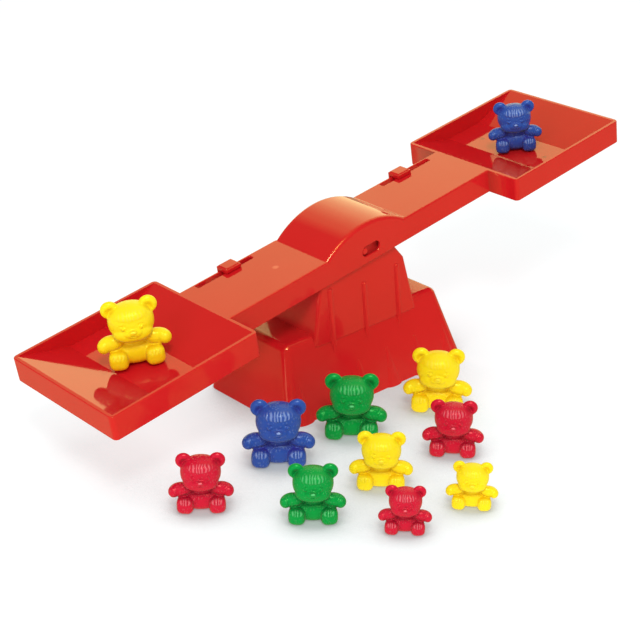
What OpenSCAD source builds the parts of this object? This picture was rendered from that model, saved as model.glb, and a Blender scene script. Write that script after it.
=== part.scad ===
// Rocker balance toy: a tilting beam with two square pans on a fluted stand, and bears in three sizes.
// Millimetres, +Z up. The origin is on the table under the pivot.
// +X runs to the raised right pan and -Y to the front.

/* [Beam] */
// Overall length of the beam over both pans
beam_len = 370; // [360:1:400]
// Width of the beam between the pans
beam_w = 41.6; // [38:0.2:48]
// Depth of the beam's side walls and of the pans
beam_h = 13.6; // [12:0.1:15]
// Thickness of the beam's top plate and of the pans
beam_wall = 2; // [1.6:0.1:2.2]
// Thickness of the beam's side walls between the pans
side_wall = 1.7; // [1.4:0.1:2]
// Angle at which the beam rests on its stop
rest_tilt = 9.55; // [6:0.05:11]
// Chord of the arch over the pivot
arch_chord = 58.2; // [50:0.2:64]
// Height of the arch above the beam's top
arch_rise = 9.7; // [9:0.1:12]
// Thickness of the stiffening ribs under the beam
beam_rib_t = 1.4; // [1:0.1:2]

/* [Pans] */
// Length of each pan along the beam
pan_len = 90; // [80:1:93]
// Width of each pan
pan_w = 83.7; // [70:0.1:95]
// Depth of each pan's flat middle below its rim
pan_drop = 9.8; // [8:0.1:10.4]
// Length of each pan's flat middle along the beam, between its two slopes
pan_flat_len = 27; // [20:0.5:40]
// Radius of the pans' upright corners
pan_corner_r = 2.6; // [2.4:0.1:6]

/* [Pivot] */
// Height of the pivot above the table
pivot_z = 89.1; // [86:0.1:96]
// Height of the pivot above the beam's top plane
pivot_above = 4; // [3:0.1:4.5]
// Diameter of the steel axle that the beam rocks on
axle_d = 3; // [2:0.1:3.2]
// Diameter of the stop pin that shows in the side slots
stop_pin_d = 4.6; // [3.6:0.1:5]
// Distance of the stop pin below the pivot
stop_drop = 10.6; // [9.8:0.1:11.2]
// Height of the side slots
slot_h = 6; // [5.6:0.1:7]
// Reach of each side slot past the beam's middle, away from its stop
slot_reach = 8.7; // [7:0.1:12]

/* [Base] */
// Length of the base at the table
base_len = 131; // [120:1:145]
// Width of the base at the table, without its flutes
base_w = 68; // [64:0.5:78]
// Height of the base block
block_h = 40.3; // [37:0.1:42]
// Length of the block's flat top
block_top_len = 115; // [98:1:116]
// Wall thickness of the base moulding
base_wall = 2.2; // [1.8:0.1:2.6]
// Length of the tower where it leaves the block
tower_len = 73; // [66:0.5:78]

/* [Flutes and ribs] */
// Spacing of the upright ribs on the tower
tower_rib_pitch = 24.6; // [18:0.1:25]
// Width of an upright rib
tower_rib_w = 3.2; // [2.4:0.1:4]
// Height at which the outer ribs start
outer_rib_top = 64; // [56:0.5:65]
// Height at which the middle rib starts
middle_rib_top = 60.8; // [54:0.2:63]
// Spacing of the flutes along the foot of the block
flute_pitch = 21.6; // [19:0.1:22]
// Number of flutes on each long face
flute_count = 6; // [2:1:6]
// Height of a flute
flute_h = 21; // [12:0.5:24]
// Radius of a flute at the table
flute_r = 6.2; // [4.5:0.1:8]

/* [Riders] */
// Length of each rider's slot as a share of the beam between arch and pan
rider_slot_len_share = 0.5736; // [0.48:0.0001:0.6]
// Width of the rider slot
rider_slot_w = 3.2; // [2.8:0.1:4]
// Middle of each rider's slot as a share of the way from arch to pan
rider_slot_x_share = 0.5812; // [0.5:0.0001:0.6]
// Length of a rider
rider_len = 10; // [8:0.2:12]
// Height of a rider above the beam's top
rider_h = 2.9; // [2:0.1:4]
// Place of each rider at rest from the middle of its slot, as a share of the slot
rider_x_share = -0.1005; // [-0.2:0.0001:0.2]

/* [Bears] */
// Height of a large bear
large_bear_h = 35; // [32:0.2:37]
// Height of a medium bear
medium_bear_h = 29.8; // [27:0.2:31]
// Height of a small bear
small_bear_h = 24; // [20:0.2:26]

/* [Hidden] */
// Cuts run past the faces they open by this much
overrun = 1;
// Running gaps: axle in its saddles, slot end at its stop, rider on its rail, bear on its floor
axle_gap = 0.05;
stop_gap = 0.06;
rider_gap = 0.2;
bear_gap = 0.1;

// Beam: half sizes, plate over the channel, and the arch's circle
half_len = beam_len / 2;
half_w = beam_w / 2;
inner_w = beam_w - 2 * side_wall;
pan_x = half_len - pan_len / 2;
pan_reach = pan_len / 2 - beam_wall;
pan_slope = atan(pan_drop / (pan_reach - pan_flat_len / 2));
pan_skin = beam_wall / cos(pan_slope);
arch_r = (arch_chord * arch_chord / 4 + arch_rise * arch_rise) / (2 * arch_rise);
arch_drop = arch_r - arch_rise;
edge_step_angle = 15;

// Beam ribs: cross ribs between arch and pan, stopped short of the rider's rail
cross_rib_count = 3;
cross_rib_depth = 9.6;
first_rib_gap = 7;
rider_rail_w = 6.4;
keel_rib_depth = 8;

// Saddle plates that ride on the axle
saddle_t = 2.4;
saddle_y = 9;
saddle_w = 15;
saddle_drop = 5.5;

// Side slots: each ends at the pin on one side, so the pair stops both ways of tilt
slot_stop = stop_drop * sin(rest_tilt) + stop_pin_d / 2 + stop_gap;
slot_len = slot_stop + slot_reach;
stop_pin_recess = 0.4;

// Base: edge rounding, axle lugs and pin bosses
block_corner_r = 5.5;
block_edge_r = 5;
tower_corner_r = 1.8;
tower_sink = 6;
tower_foot = block_h - tower_sink;
tower_top_drop = 5.2;
tower_top = pivot_z - tower_top_drop;
shoulder_z = 65;
shoulder_len_share = 0.852;
neck_len_share = 0.64;
neck_z = 74.4;
top_len_share = 0.44;
tower_draft = 0.107;
shoulder_gap = 0.25;
neck_gap = 1.25;
top_gap = 2.55;
shoulder_w = inner_w - 2 * shoulder_gap;
tower_w = shoulder_w + 2 * tower_draft * (shoulder_z - block_h);
block_set_back = 0.5;
block_top_w = tower_w - 2 * block_set_back;
lug_t = 2.2;
lug_r = 2.8;
lug_foot_w = 15;
lug_set_back = 0.15;
lug_outer_y = inner_w / 2 - top_gap - lug_set_back;
boss_d = 7.6;
boss_len = 4;
base_rib_t = 2;
base_rib_x = 18;
outer_base_rib_x = 42;
base_rib_top = 68;

// Ribs and flutes: how far they stand into their wall
rib_sink = 0.2;
flute_tip_r = 0.8;
flute_sink = 2.8;
flute_tip_sink = 0.9;
flute_foot = 2.4;

// Rider: plate, inner leg through the slot and outer leg behind the wall
rider_plate_inner_y = 13.6;
rider_leg_len = 8;
rider_leg_drop = 7;
rider_outer_leg_t = 1.2;
rider_crown = 0.8;
rider_slot_y = half_w - side_wall - rider_slot_w / 2;
free_bar_len = half_len - pan_len - arch_chord / 2;
rider_slot_len = rider_slot_len_share * free_bar_len;
rider_slot_x = arch_chord / 2 + rider_slot_x_share * free_bar_len;
rider_x = rider_slot_x + rider_x_share * rider_slot_len;

// Bear form: shares of the bear's height
head_z_share = 0.636;
head_y_share = -0.03;
head_half_share = 0.325;
head_r_share = 0.28;
ear_x_share = 0.265;
ear_z_share = 0.858;
ear_r_share = 0.133;
ear_half_share = 0.065;
muzzle_y_share = -0.23;
muzzle_z_share = 0.6;
muzzle_half_share = 0.135;
muzzle_r_share = 0.1;
chest_z_share = 0.34;
chest_half_share = 0.28;
chest_r_share = 0.235;
hip_z_share = 0.18;
hip_half_share = 0.35;
hip_r_share = 0.22;
arm_x_share = 0.345;
arm_y_share = -0.06;
arm_z_share = 0.355;
arm_half_share = 0.185;
arm_r_share = 0.115;
arm_droop = 12;
leg_x_share = 0.25;
leg_z_share = 0.135;
leg_front_share = 0.32;
leg_r_share = 0.145;
leg_splay = 9;
sole_edge_share = 0.04;
egg_steps = 12;
seat_reach_share = 0.35;
yellow_pan_lean = 2.6;
blue_pan_lean = 1.4;

// Where the bears stand: shares of the beam's length along X and Y, then the turn about Z that each faces
yellow_pan_place_share = [-0.3778, 0.0007, -31];
blue_pan_place_share = [0.3759, -0.0053, -43];
blue_large_place_share = [-0.242, -0.1405, -40.5];
green_large_place_share = [-0.1177, -0.1528, -43.5];
yellow_large_place_share = [0.0271, -0.1801, -47];
red_left_place_share = [-0.392, -0.1615, -40];
red_right_place_share = [-0.05, -0.2834, -48];
green_medium_place_share = [-0.3034, -0.278, -42];
yellow_medium_place_share = [-0.1828, -0.2783, -45];
red_small_place_share = [-0.236, -0.3761, -46];
yellow_small_place_share = [-0.1312, -0.3942, -49];

$fn = 64;

// Corner points of a rectangle with round corners, as short straight steps
function corner(cx, cy, r, from) =
    [for (a = [from : edge_step_angle : from + 90]) [cx + r * cos(a), cy + r * sin(a)]];
function round_rect(len, wid, r) = concat(
    corner(len / 2 - r, wid / 2 - r, r, 0),
    corner(r - len / 2, wid / 2 - r, r, 90),
    corner(r - len / 2, r - wid / 2, r, 180),
    corner(len / 2 - r, r - wid / 2, r, 270));

// Places children, made in the beam's own frame, on the tilted beam
module on_beam() {
    translate([0, 0, pivot_z]) rotate([0, -rest_tilt, 0]) translate([0, 0, -pivot_above]) children();
}

// Solid cylinder along Y, centred on the middle plane
module cross_bar(d, len) {
    rotate([90, 0, 0]) cylinder(d = d, h = len, center = true);
}

// Egg along Z: an ellipse turned about its long or short axis
module egg(half, r) {
    rotate_extrude()
        polygon([for (i = [0 : egg_steps]) let (a = 180 * i / egg_steps - 90) [r * cos(a), half * sin(a)]]);
}

// Beam

module pan_outer(side) {
    translate([side * pan_x, 0, -beam_h])
        linear_extrude(beam_h) polygon(round_rect(pan_len, pan_w, pan_corner_r));
}

// Space above a pan's skin: the skin slopes from both ends down to a flat middle
module pan_hollow(side) {
    translate([side * pan_x, 0, 0]) rotate([90, 0, 0]) linear_extrude(pan_w - 2 * beam_wall, center = true)
        polygon([[-pan_reach, overrun], [-pan_reach, 0], [-pan_flat_len / 2, -pan_drop],
                 [pan_flat_len / 2, -pan_drop], [pan_reach, 0], [pan_reach, overrun]]);
}

// Space under the skin, inside the pan's four walls
module pan_underside(side) {
    foot_z = -beam_h - overrun;
    translate([side * pan_x, 0, 0]) rotate([90, 0, 0]) linear_extrude(pan_w - 2 * beam_wall, center = true)
        polygon([[-pan_reach, foot_z], [-pan_reach, -pan_skin], [-pan_flat_len / 2, -pan_drop - pan_skin],
                 [pan_flat_len / 2, -pan_drop - pan_skin], [pan_reach, -pan_skin], [pan_reach, foot_z]]);
}

// Arch drum from the table side up, cut level with the plane at the given height
module arch_drum(r, wid, floor_z) {
    intersection() {
        translate([0, 0, -arch_drop]) cross_bar(2 * r, wid);
        translate([-arch_chord, -wid, floor_z]) cube([2 * arch_chord, 2 * wid, arch_r]);
    }
}

module beam_channel() {
    bar_half = half_len - pan_len;
    translate([-bar_half, -inner_w / 2, -beam_h - overrun])
        cube([2 * bar_half, inner_w, beam_h - beam_wall + overrun]);
    arch_drum(arch_r - beam_wall, inner_w, -beam_h);
}

// Cross ribs and one keel rib stiffen the plate between arch and pan
module beam_ribs() {
    bar_end = half_len - pan_len;
    first_x = arch_chord / 2 + first_rib_gap;
    bay = (bar_end - first_x) / cross_rib_count;
    for (side = [-1, 1]) {
        for (i = [0 : cross_rib_count - 1])
            translate([side * (first_x + i * bay) - beam_rib_t / 2, -inner_w / 2, -cross_rib_depth])
                cube([beam_rib_t, inner_w - rider_rail_w, cross_rib_depth - beam_wall / 2]);
        translate([side * (first_x + bar_end) / 2, 0, -keel_rib_depth / 2 - beam_wall / 4])
            cube([bar_end - first_x + beam_wall, beam_rib_t, keel_rib_depth - beam_wall / 2],
                 center = true);
    }
}

// Saddle plates hang from the arch and hook over the axle from above
module saddle_plates() {
    for (side = [-1, 1])
        difference() {
            intersection() {
                translate([0, side * saddle_y, 0]) arch_drum(arch_r - beam_wall / 2, saddle_t, -beam_h);
                translate([-saddle_w / 2, -beam_w / 2, pivot_above - saddle_drop])
                    cube([saddle_w, beam_w, arch_rise + saddle_drop]);
            }
            translate([0, 0, pivot_above]) cross_bar(axle_d + 2 * axle_gap, beam_w);
            translate([-axle_d / 2 - axle_gap, -beam_w / 2, pivot_above - saddle_drop - overrun])
                cube([axle_d + 2 * axle_gap, beam_w, saddle_drop + overrun]);
        }
}

// The front slot ends at the pin on the left, the back one on the right
module side_slot(side) {
    slot_r = slot_h / 2;
    translate([side * (slot_len / 2 - slot_stop), -side * half_w, pivot_above - stop_drop])
        rotate([90, 0, 0])
            translate([0, 0, -beam_wall - overrun])
                linear_extrude(2 * beam_wall + 2 * overrun)
                    polygon(round_rect(slot_len, slot_h, slot_r));
}

module rider_slot(side) {
    start_x = side * rider_slot_x - rider_slot_len / 2;
    translate([start_x, rider_slot_y - rider_slot_w / 2, -beam_wall - overrun])
        cube([rider_slot_len, rider_slot_w, beam_wall + 2 * overrun]);
}

module balance_beam() {
    color("red") on_beam() difference() {
        union() {
            difference() {
                union() {
                    for (side = [-1, 1]) pan_outer(side);
                    translate([-pan_x, -half_w, -beam_h]) cube([2 * pan_x, beam_w, beam_h]);
                    arch_drum(arch_r, beam_w, -beam_wall / 2);
                }
                beam_channel();
            }
            beam_ribs();
            saddle_plates();
        }
        for (side = [-1, 1]) {
            pan_hollow(side);
            pan_underside(side);
            side_slot(side);
            rider_slot(side);
        }
    }
}

// Riders

module rider(side) {
    plate_w = half_w + rider_gap + rider_outer_leg_t - rider_plate_inner_y;
    color("tomato") on_beam() translate([side * rider_x, 0, 0]) {
        translate([-rider_len / 2, rider_plate_inner_y, rider_gap])
            cube([rider_len, plate_w, rider_h - rider_crown]);
        translate([-rider_len / 2 + rider_crown, rider_plate_inner_y + rider_crown, rider_h - rider_crown])
            cube([rider_len - 2 * rider_crown, plate_w - 2 * rider_crown, rider_crown]);
        translate([-rider_leg_len / 2, rider_slot_y - rider_slot_w / 2 + rider_gap, -rider_leg_drop])
            cube([rider_leg_len, rider_slot_w - 2 * rider_gap, rider_leg_drop + rider_h / 2]);
        translate([-rider_len / 2, half_w + rider_gap, -rider_leg_drop])
            cube([rider_len, rider_outer_leg_t, rider_leg_drop + rider_h / 2]);
    }
}

// Base

// Drafted block with round upright corners and round top edges, shrunk by a wall thickness
module block_form(inset) {
    corner_r = block_corner_r - inset;
    edge_r = block_edge_r - inset / 2;
    hull() {
        for (sx = [-1, 1], sy = [-1, 1]) {
            translate([sx * (base_len / 2 - inset - corner_r), sy * (base_w / 2 - inset - corner_r), 0])
                cylinder(r = corner_r, h = overrun, $fn = 32);
            translate([sx * (block_top_len / 2 - inset - edge_r), sy * (block_top_w / 2 - inset - edge_r),
                       block_h - inset - edge_r])
                sphere(r = edge_r, $fn = 32);
        }
    }
}

// One level of the tower: four thin posts
module tower_level(len, wid, z, inset) {
    r = tower_corner_r - inset / 2;
    for (sx = [-1, 1], sy = [-1, 1])
        translate([sx * (len / 2 - inset - r), sy * (wid / 2 - inset - r), z])
            cylinder(r = r, h = overrun, $fn = 32);
}

// Tower with drafted faces and sloping shoulders
module tower_form(inset) {
    foot_drop = block_h - tower_foot;
    foot_len = tower_len + tower_len * (1 - shoulder_len_share) * foot_drop / (shoulder_z - block_h);
    hull() {
        tower_level(foot_len, tower_w + 2 * tower_draft * foot_drop, tower_foot - inset, inset);
        tower_level(tower_len * shoulder_len_share, shoulder_w, shoulder_z, inset);
        tower_level(tower_len * neck_len_share, inner_w - 2 * neck_gap, neck_z, inset);
        tower_level(tower_len * top_len_share, inner_w - 2 * top_gap, tower_top - overrun, inset);
    }
}

// Round-topped upright bar, sunk into the tower's drafted face
module tower_rib(x, top_z) {
    r = tower_rib_w / 2;
    draft = atan(tower_draft);
    face_y = tower_w / 2 - (top_z - block_h) * tower_draft;
    rib_len = top_z - block_h / 2;
    translate([x, -face_y + rib_sink, top_z]) rotate([-draft, 0, 0]) translate([0, 0, -rib_len])
        rotate_extrude() polygon(concat([[0, 0]], [[r, 0]],
            [for (a = [0 : edge_step_angle : 90]) [r * cos(a), rib_len - r + r * sin(a)]]));
}

// Cone that swells out of the block's sloping face down to the table
module flute(x) {
    face_run = (base_w - block_top_w) / 2 * flute_h / block_h;
    lean = atan((face_run - flute_sink + flute_tip_sink) / flute_h);
    difference() {
        translate([x, flute_sink - base_w / 2, 0]) rotate([-lean, 0, 0]) translate([0, 0, -flute_foot])
            cylinder(r1 = flute_r, r2 = flute_tip_r, h = flute_h + flute_foot);
        translate([x - 2 * flute_r, -base_w, -2 * flute_foot]) cube([4 * flute_r, base_w, 2 * flute_foot]);
    }
}

// Ear on each side wall that carries one end of the axle
module axle_lug() {
    translate([0, -lug_outer_y + lug_t, 0]) rotate([90, 0, 0]) {
        translate([0, pivot_z, 0]) cylinder(r = lug_r, h = lug_t);
        linear_extrude(lug_t) polygon([
            [-lug_foot_w / 2, tower_top - boss_d / 2], [lug_foot_w / 2, tower_top - boss_d / 2],
            [lug_foot_w / 2, tower_top], [axle_d / 2 + axle_gap, pivot_z + axle_d / 2],
            [-axle_d / 2 - axle_gap, pivot_z + axle_d / 2], [-lug_foot_w / 2, tower_top]]);
    }
}

// Stiffening ribs that divide the hollow and stand on the table
module base_ribs() {
    intersection() {
        union() {
            for (x = [-outer_base_rib_x, -base_rib_x, base_rib_x, outer_base_rib_x])
                translate([x - base_rib_t / 2, -base_w / 2, 0]) cube([base_rib_t, base_w, base_rib_top]);
            translate([-base_len / 2, -base_rib_t / 2, 0]) cube([base_len, base_rib_t, base_rib_top]);
        }
        union() {
            block_form(base_wall / 2);
            tower_form(base_wall / 2);
        }
    }
}

module base_shell() {
    color("crimson") difference() {
        union() {
            difference() {
                union() {
                    block_form(0);
                    tower_form(0);
                    for (turn = [0, 180]) rotate([0, 0, turn]) {
                        tower_rib(-tower_rib_pitch, outer_rib_top);
                        tower_rib(0, middle_rib_top);
                        tower_rib(tower_rib_pitch, outer_rib_top);
                        for (i = [0 : flute_count - 1]) flute((i - (flute_count - 1) / 2) * flute_pitch);
                    }
                }
                translate([0, 0, -overrun]) block_form(base_wall);
                tower_form(base_wall);
                translate([-tower_len / 2, -inner_w / 2, tower_top - overrun])
                    cube([tower_len, inner_w, overrun * 2]);
            }
            base_ribs();
            for (turn = [0, 180]) rotate([0, 0, turn]) {
                axle_lug();
                translate([0, boss_len - lug_outer_y, pivot_z - stop_drop]) rotate([90, 0, 0])
                    cylinder(d = boss_d, h = boss_len);
            }
        }
        translate([0, 0, pivot_z]) cross_bar(axle_d, base_w);
        translate([0, 0, pivot_z - stop_drop]) cross_bar(stop_pin_d, base_w);
    }
}

module fulcrum_axle() {
    color("silver") translate([0, 0, pivot_z]) cross_bar(axle_d, 2 * lug_outer_y);
}

// Pin with slightly domed ends, a little short of the beam's outer faces
module stop_pin() {
    pin_half = half_w - stop_pin_recess;
    dome = stop_pin_recess * 2;
    r = stop_pin_d / 2;
    color("red") translate([0, 0, pivot_z - stop_drop]) rotate([90, 0, 0]) rotate_extrude()
        polygon([[0, -pin_half], [r - dome, -pin_half], [r, dome - pin_half],
                 [r, pin_half - dome], [r - dome, pin_half], [0, pin_half]]);
}

// Bears

module bear_head(h) {
    translate([0, head_y_share * h, head_z_share * h]) rotate([0, 90, 0])
        egg(head_half_share * h, head_r_share * h);
    translate([0, muzzle_y_share * h, muzzle_z_share * h]) rotate([0, 90, 0])
        egg(muzzle_half_share * h, muzzle_r_share * h);
    for (side = [-1, 1])
        translate([side * ear_x_share * h, 0, ear_z_share * h]) rotate([90, 0, 0])
            egg(ear_half_share * h, ear_r_share * h);
}

module bear_leg(h) {
    r = leg_r_share * h;
    edge = sole_edge_share * h;
    rotate([-90, 0, 0]) rotate_extrude() polygon([
        [0, 0], [r - edge, 0], [r, edge], [r, leg_front_share * h], [0, leg_front_share * h]]);
}

// Sitting bear that faces -Y, flat where it sits, origin in the middle of its seat
module bear(h) {
    difference() {
        union() {
            translate([0, 0, chest_z_share * h]) egg(chest_half_share * h, chest_r_share * h);
            translate([0, 0, hip_z_share * h]) rotate([0, 90, 0]) egg(hip_half_share * h, hip_r_share * h);
            bear_head(h);
            for (side = [-1, 1]) {
                translate([side * arm_x_share * h, arm_y_share * h, arm_z_share * h])
                    rotate([0, side * (90 + arm_droop), 0]) egg(arm_half_share * h, arm_r_share * h);
                translate([side * leg_x_share * h, -leg_front_share * h, leg_z_share * h])
                    rotate([0, 0, side * leg_splay]) bear_leg(h);
            }
        }
        translate([-h, -h, -h]) cube([2 * h, 2 * h, h]);
    }
}

module table_bear(h, place) {
    translate([place[0] * beam_len, place[1] * beam_len, 0]) rotate([0, 0, place[2]]) bear(h);
}

// A pan's bear leans a little, because one foot stands on the slope beside the flat middle
module pan_bear(h, place, lean) {
    lift = bear_gap + seat_reach_share * h * sin(lean);
    on_beam() translate([place[0] * beam_len, place[1] * beam_len, lift - pan_drop])
        rotate([0, lean, 0]) rotate([0, 0, place[2]]) bear(h);
}

module rider_left() rider(-1);
module rider_right() rider(1);
module bear_yellow_left_pan() color("gold") pan_bear(large_bear_h, yellow_pan_place_share, yellow_pan_lean);
module bear_blue_right_pan() color("royalblue") pan_bear(medium_bear_h, blue_pan_place_share, blue_pan_lean);
module bear_blue_large() color("royalblue") table_bear(large_bear_h, blue_large_place_share);
module bear_green_large() color("green") table_bear(large_bear_h, green_large_place_share);
module bear_yellow_large() color("gold") table_bear(large_bear_h, yellow_large_place_share);
module bear_red_medium_left() color("crimson") table_bear(medium_bear_h, red_left_place_share);
module bear_red_medium_right() color("crimson") table_bear(medium_bear_h, red_right_place_share);
module bear_green_medium() color("green") table_bear(medium_bear_h, green_medium_place_share);
module bear_yellow_medium() color("gold") table_bear(medium_bear_h, yellow_medium_place_share);
module bear_red_small() color("crimson") table_bear(small_bear_h, red_small_place_share);
module bear_yellow_small() color("gold") table_bear(small_bear_h, yellow_small_place_share);

base_shell();
fulcrum_axle();
stop_pin();
balance_beam();
rider_left();
rider_right();
bear_yellow_left_pan();
bear_blue_right_pan();
bear_blue_large();
bear_green_large();
bear_yellow_large();
bear_red_medium_left();
bear_red_medium_right();
bear_green_medium();
bear_yellow_medium();
bear_red_small();
bear_yellow_small();
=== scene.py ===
"""Rocker balance of gloss moulded plastic with eleven loose bear weights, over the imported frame."""
import logging
import math
from dataclasses import dataclass
from enum import Enum
from typing import Any, Iterator

import bmesh
import bpy
import numpy as np
from mathutils import Euler, Matrix, Vector
from mathutils.bvhtree import BVHTree


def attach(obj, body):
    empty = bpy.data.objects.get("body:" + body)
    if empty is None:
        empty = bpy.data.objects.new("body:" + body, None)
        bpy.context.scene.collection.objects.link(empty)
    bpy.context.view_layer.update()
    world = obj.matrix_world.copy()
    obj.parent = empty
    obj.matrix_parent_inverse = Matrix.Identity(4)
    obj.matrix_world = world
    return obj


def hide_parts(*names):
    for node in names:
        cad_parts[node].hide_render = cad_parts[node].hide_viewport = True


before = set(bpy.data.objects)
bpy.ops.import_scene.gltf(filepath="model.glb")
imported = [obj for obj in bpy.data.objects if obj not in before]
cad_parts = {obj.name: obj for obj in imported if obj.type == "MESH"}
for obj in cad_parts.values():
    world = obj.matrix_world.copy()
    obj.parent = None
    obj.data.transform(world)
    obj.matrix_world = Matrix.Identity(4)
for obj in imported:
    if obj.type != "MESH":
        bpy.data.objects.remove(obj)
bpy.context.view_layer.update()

MM = 0.001
LOG = logging.getLogger("rocker_balance")
LOBE_SEGMENTS, LOBE_RINGS = 48, 28

Pair = tuple[float, float]
Triple = tuple[float, float, float]
Colour = tuple[float, float, float, float]
Tree = bpy.types.NodeTree
Socket = bpy.types.NodeSocket


# Shared helpers -----------------------------------------------------------------------------------


def linear(code: str) -> Colour:
    """Turns an sRGB hex colour into linear light.

    Args:
        code: six hex digits with a leading #.

    Returns:
        Red, green, blue and an alpha of 1.
    """
    parts = [int(code[i:i + 2], 16) / 255 for i in (1, 3, 5)]
    light = [c / 12.92 if c <= 0.04045 else ((c + 0.055) / 1.055) ** 2.4 for c in parts]
    return light[0], light[1], light[2], 1.0


def add_node(tree: Tree, kind: str, inputs: dict[Any, Any] | None = None,
             **settings: Any) -> bpy.types.Node:
    """Adds one node with its settings, and fills or links its inputs.

    Args:
        tree: node tree that takes the node.
        kind: Blender's name of the node type.
        inputs: socket name or number, with the value or the output socket that feeds it.
        settings: properties of the node itself.

    Returns:
        The new node.
    """
    node = tree.nodes.new(kind)
    for name, value in settings.items():
        setattr(node, name, value)
    for socket, value in (inputs or {}).items():
        if isinstance(value, bpy.types.NodeSocket):
            tree.links.new(value, node.inputs[socket])
        else:
            node.inputs[socket].default_value = value
    return node


def number(tree: Tree, operation: str, *values: Any) -> Socket:
    """Works out one number.

    Args:
        tree: node tree that takes the node.
        operation: Blender's name of the operation.
        values: numbers or sockets, in the node's order.

    Returns:
        The result.
    """
    return add_node(tree, "ShaderNodeMath", dict(enumerate(values)), operation=operation).outputs[0]


def vector(tree: Tree, operation: str, *values: Any) -> Socket:
    """Works out one vector, or a number where the operation measures a length or an angle.

    Args:
        tree: node tree that takes the node.
        operation: Blender's name of the operation.
        values: vectors or sockets, in the node's order.

    Returns:
        The result.
    """
    measures = operation in ("DISTANCE", "LENGTH", "DOT_PRODUCT")
    node = add_node(tree, "ShaderNodeVectorMath", dict(enumerate(values)), operation=operation)
    return node.outputs["Value" if measures else "Vector"]


def remap(tree: Tree, value: Socket, source: Pair = (0.0, 1.0), target: Pair = (0.0, 1.0),
          easing: str = "LINEAR") -> Socket:
    """Maps a number from one range to another and stops at its ends.

    Args:
        tree: node tree that takes the node.
        value: the number.
        source: values that give the two ends of the target; they may fall.
        target: what they give.
        easing: LINEAR, or SMOOTHSTEP for soft ends.

    Returns:
        The mapped number.
    """
    return add_node(tree, "ShaderNodeMapRange", {
        "Value": value, "From Min": source[0], "From Max": source[1],
        "To Min": target[0], "To Max": target[1]}, interpolation_type=easing).outputs[0]


def mix_colours(tree: Tree, share: Any, first: Any, second: Any) -> Socket:
    """Returns the first colour where the share is 0 and the second where it is 1."""
    inputs = {0: share, 6: first, 7: second}  # sockets 6 and 7 take the colours
    return add_node(tree, "ShaderNodeMix", inputs, data_type="RGBA").outputs[2]


def mix_numbers(tree: Tree, share: Any, first: Any, second: Any) -> Socket:
    """Returns the first number where the share is 0 and the second where it is 1."""
    return add_node(tree, "ShaderNodeMix", {0: share, 2: first, 3: second}).outputs[0]


def new_material(name: str) -> tuple[bpy.types.Material, Tree, bpy.types.Node]:
    """Makes a material.

    Args:
        name: what the material is really made of and how.

    Returns:
        The material, its nodes and its shader.
    """
    material = bpy.data.materials.new(name)
    material.use_nodes = True
    tree = material.node_tree
    return material, tree, tree.nodes["Principled BSDF"]


def link_smooth(mesh: bpy.types.Mesh, name: str) -> bpy.types.Object:
    """Links a mesh as a smooth-shaded object at the origin.

    Args:
        mesh: finished shape in metres.
        name: name of the object.

    Returns:
        The new object.
    """
    piece = bpy.data.objects.new(name, mesh)
    bpy.context.scene.collection.objects.link(piece)
    for face in mesh.polygons:
        face.use_smooth = True
    return piece


def object_from(bm: bmesh.types.BMesh, name: str) -> bpy.types.Object:
    """Links a bmesh as a smooth-shaded object at the origin and frees the bmesh.

    Args:
        bm: finished shape in metres.
        name: name of the object and its mesh.

    Returns:
        The new object.
    """
    mesh = bpy.data.meshes.new(name)
    bm.to_mesh(mesh)
    bm.free()
    return link_smooth(mesh, name)


def report(piece: bpy.types.Object, body: str) -> None:
    """Logs one piece with the body it rides on and its face count."""
    LOG.info("%s rides on %s: %d faces", piece.name, body, len(piece.data.polygons))


# Finishes -----------------------------------------------------------------------------------------


class Pigment(Enum):
    """A bear's colour: body, painted fold shade, tint of shine and painted highlights, stroke height.
    """

    # the second colour paints shade into the folds, the third tints the shine and the painted
    # highlights
    YELLOW = ("#F6DE16", "#EDBC06", "#FFEE90", 0.3)
    BLUE = ("#284CA1", "#332A92", "#BCD4FF", 1.0)
    GREEN = ("#00923A", "#006029", "#86E8A0", 1.0)
    CRIMSON = ("#C81030", "#9E0627", "#FF9EA6", 1.0)

    @property
    def tones(self) -> tuple[Colour, Colour, Colour]:
        """Linear colours of the body, the painted shade in folds, and the shine, also of painted
        highlights.
        """
        body, deep, shine = (linear(code) for code in self.value[:3])
        return body, deep, shine

    @property
    def relief(self) -> float:
        """Share of the full stroke height."""
        return float(self.value[3])


@dataclass(frozen=True)
class Mark:
    """A small round spot that a gate or an ejector leaves.

    Attributes:
        place_mm: its middle.
        radius_mm: its radius.
        tone: its colour.
        core_share: share of the radius inside which it is at its strongest.
        cover: how much of its colour shows there.
    """

    place_mm: Triple
    radius_mm: float
    tone: str
    core_share: float = 0.4
    cover: float = 0.7

    def moved(self, pose: Matrix) -> "Mark":
        """Returns the mark with its place taken from a piece's own frame to the table's."""
        x, y, z = pose @ (Vector(self.place_mm) * MM) / MM
        return Mark((x, y, z), self.radius_mm, self.tone, self.core_share, self.cover)

    def paint(self, tree: Tree, place: Socket, tone: Socket) -> Socket:
        """Lays the spot over a colour.

        Args:
            tree: the material's nodes.
            place: the piece's Object coordinates.
            tone: colour without the spot.

        Returns:
            The colour with it.
        """
        away = vector(tree, "DISTANCE", place, tuple(c * MM for c in self.place_mm))
        edge = self.radius_mm * MM
        spot = remap(tree, away, (edge, self.core_share * edge), (0.0, self.cover))
        return mix_colours(tree, spot, tone, linear(self.tone))


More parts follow.
